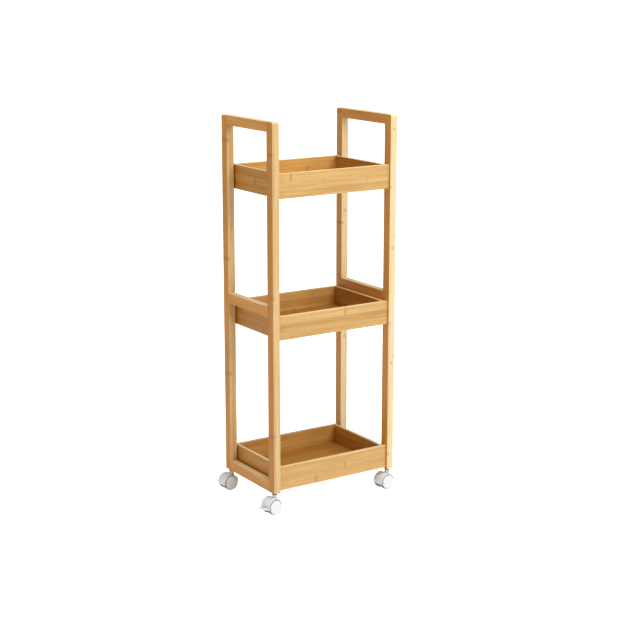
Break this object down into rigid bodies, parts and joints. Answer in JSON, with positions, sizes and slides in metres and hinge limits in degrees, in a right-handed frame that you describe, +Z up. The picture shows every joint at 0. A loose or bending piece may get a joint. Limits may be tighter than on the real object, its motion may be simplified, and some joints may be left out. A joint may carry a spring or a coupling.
{
  "type": "rolling utility cart",
  "caption": "Slim three-tier bamboo storage cart with open side frames, shallow trays, handle rails and white twin-wheel swivel casters.",
  "frame": {"origin": "the point on the floor midway between the four caster stems", "axes": "+X from the left frame to the right one along the trays, +Y from the front boards to the back boards, +Z up"},
  "size_m": [0.3739, 0.2348, 0.898],
  "materials": {
    "bamboo": "clear satin lacquer over laminated bamboo strips",
    "bamboo_panel": "clear satin lacquer over bamboo ply",
    "white_plastic": "smooth moulded, semi-gloss",
    "grey_tread": "matt moulded tread",
    "caster_steel": "dark zinc plated",
    "steel": "bright zinc plated"
  },
  "bodies": {
    "cart_frame": {"left_front_post": "bamboo", "left_back_post": "bamboo", "left_top_rail": "bamboo", "left_middle_rail": "bamboo", "left_bottom_rail": "bamboo", "right_front_post": "bamboo", "right_back_post": "bamboo", "right_top_rail": "bamboo", "right_middle_rail": "bamboo", "right_bottom_rail": "bamboo", "bottom_tray_front_board": "bamboo", "bottom_tray_back_board": "bamboo", "bottom_tray_left_end": "bamboo", "bottom_tray_right_end": "bamboo", "bottom_tray_floor": "bamboo_panel", "middle_tray_front_board": "bamboo", "middle_tray_back_board": "bamboo", "middle_tray_left_end": "bamboo", "middle_tray_right_end": "bamboo", "middle_tray_floor": "bamboo_panel", "top_tray_front_board": "bamboo", "top_tray_back_board": "bamboo", "top_tray_left_end": "bamboo", "top_tray_right_end": "bamboo", "top_tray_floor": "bamboo_panel", "rail_dowels": "bamboo", "shelf_pins": "steel", "tray_bolts": "steel", "tray_inserts": "steel", "bolt_plugs": "bamboo", "caster_stems": "caster_steel", "caster_sockets": "steel"},
    "front_left_caster": {"front_left_caster_hood": "white_plastic", "front_left_caster_axle": "steel"},
    "front_left_front_wheel": {"front_left_caster_front_wheel": "white_plastic", "front_left_caster_front_tread": "grey_tread"},
    "front_left_back_wheel": {"front_left_caster_back_wheel": "white_plastic", "front_left_caster_back_tread": "grey_tread"},
    "front_left_brake": {"front_left_brake_lever": "white_plastic"},
    "front_right_caster": {"front_right_caster_hood": "white_plastic", "front_right_caster_axle": "steel"},
    "front_right_front_wheel": {"front_right_caster_front_wheel": "white_plastic", "front_right_caster_front_tread": "grey_tread"},
    "front_right_back_wheel": {"front_right_caster_back_wheel": "white_plastic", "front_right_caster_back_tread": "grey_tread"},
    "back_left_caster": {"back_left_caster_hood": "white_plastic", "back_left_caster_axle": "steel"},
    "back_left_front_wheel": {"back_left_caster_front_wheel": "white_plastic", "back_left_caster_front_tread": "grey_tread"},
    "back_left_back_wheel": {"back_left_caster_back_wheel": "white_plastic", "back_left_caster_back_tread": "grey_tread"},
    "back_right_caster": {"back_right_caster_hood": "white_plastic", "back_right_caster_axle": "steel"},
    "back_right_front_wheel": {"back_right_caster_front_wheel": "white_plastic", "back_right_caster_front_tread": "grey_tread"},
    "back_right_back_wheel": {"back_right_caster_back_wheel": "white_plastic", "back_right_caster_back_tread": "grey_tread"},
    "back_right_brake": {"back_right_brake_lever": "white_plastic"}
  },
  "joints": [
    {"name": "front_left_swivel", "type": "hinge", "parent": "cart_frame", "child": "front_left_caster", "pos_m": [-0.159, -0.099, 0.04], "axis": [0, 0, 1], "continuous": true},
    {"name": "front_left_front_wheel_spin", "type": "hinge", "parent": "front_left_caster", "child": "front_left_front_wheel", "pos_m": [-0.16888, -0.10056, 0.018], "axis": [-0.1564, 0.9877, 0], "continuous": true},
    {"name": "front_left_back_wheel_spin", "type": "hinge", "parent": "front_left_caster", "child": "front_left_back_wheel", "pos_m": [-0.16888, -0.10056, 0.018], "axis": [-0.1564, 0.9877, 0], "continuous": true},
    {"name": "front_left_brake_press", "type": "hinge", "parent": "front_left_caster", "child": "front_left_brake", "pos_m": [-0.18024, -0.10236, 0.02], "axis": [0.1564, -0.9877, 0], "range_deg": [0, 14]},
    {"name": "front_right_swivel", "type": "hinge", "parent": "cart_frame", "child": "front_right_caster", "pos_m": [0.159, -0.099, 0.04], "axis": [0, 0, 1], "continuous": true},
    {"name": "front_right_front_wheel_spin", "type": "hinge", "parent": "front_right_caster", "child": "front_right_front_wheel", "pos_m": [0.14908, -0.10022, 0.018], "axis": [-0.1219, 0.9925, 0], "continuous": true},
    {"name": "front_right_back_wheel_spin", "type": "hinge", "parent": "front_right_caster", "child": "front_right_back_wheel", "pos_m": [0.14908, -0.10022, 0.018], "axis": [-0.1219, 0.9925, 0], "continuous": true},
    {"name": "back_left_swivel", "type": "hinge", "parent": "cart_frame", "child": "back_left_caster", "pos_m": [-0.159, 0.099, 0.04], "axis": [0, 0, 1], "continuous": true},
    {"name": "back_left_front_wheel_spin", "type": "hinge", "parent": "back_left_caster", "child": "back_left_front_wheel", "pos_m": [-0.16899, 0.09848, 0.018], "axis": [-0.0523, 0.9986, 0], "continuous": true},
    {"name": "back_left_back_wheel_spin", "type": "hinge", "parent": "back_left_caster", "child": "back_left_back_wheel", "pos_m": [-0.16899, 0.09848, 0.018], "axis": [-0.0523, 0.9986, 0], "continuous": true},
    {"name": "back_right_swivel", "type": "hinge", "parent": "cart_frame", "child": "back_right_caster", "pos_m": [0.159, 0.099, 0.04], "axis": [0, 0, 1], "continuous": true},
    {"name": "back_right_front_wheel_spin", "type": "hinge", "parent": "back_right_caster", "child": "back_right_front_wheel", "pos_m": [0.14904, 0.09813, 0.018], "axis": [-0.0872, 0.9962, 0], "continuous": true},
    {"name": "back_right_back_wheel_spin", "type": "hinge", "parent": "back_right_caster", "child": "back_right_back_wheel", "pos_m": [0.14904, 0.09813, 0.018], "axis": [-0.0872, 0.9962, 0], "continuous": true},
    {"name": "back_right_brake_press", "type": "hinge", "parent": "back_right_caster", "child": "back_right_brake", "pos_m": [0.13758, 0.09713, 0.02], "axis": [0.0872, -0.9962, 0], "range_deg": [0, 14]}
  ]
}
